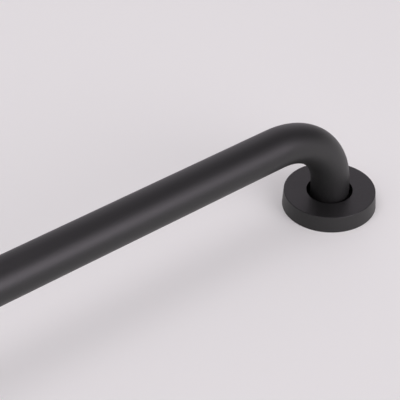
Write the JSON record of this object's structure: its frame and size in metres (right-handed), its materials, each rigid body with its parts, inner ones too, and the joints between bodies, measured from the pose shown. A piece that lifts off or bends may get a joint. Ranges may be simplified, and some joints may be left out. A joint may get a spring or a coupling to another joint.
{
  "type": "grab bar",
  "caption": "Straight wall grab bar in matte black: a round tube bent down at each end onto a screw plate that a loose round cover hides.",
  "frame": {"origin": "on the wall plane, midway between the axes of the legs", "axes": "+X along the bar, +Y across it, +Z away from the wall, so the bar stands on its plates when it is laid on a table"},
  "size_m": [0.528, 0.078, 0.099],
  "materials": {
    "bar_coat": "matte black powder coat on steel tube",
    "cover_coat": "matte black powder coat on pressed steel sheet",
    "plate_coat": "matte black powder coat on cut steel plate",
    "weld_coat": "matte black powder coat over a rippled weld"
  },
  "bodies": {
    "bar": {"grab_tube": "bar_coat", "mounting_plates": "plate_coat", "weld_beads": "weld_coat"},
    "left_cover": {"left_cover": "cover_coat"},
    "right_cover": {"right_cover": "cover_coat"}
  },
  "joints": [
    {"name": "left_cover_slide", "type": "slide", "parent": "bar", "child": "left_cover", "axis": [0, 0, 1], "range_m": [0, 0.022]},
    {"name": "right_cover_slide", "type": "slide", "parent": "bar", "child": "right_cover", "axis": [0, 0, 1], "range_m": [0, 0.022]}
  ]
}
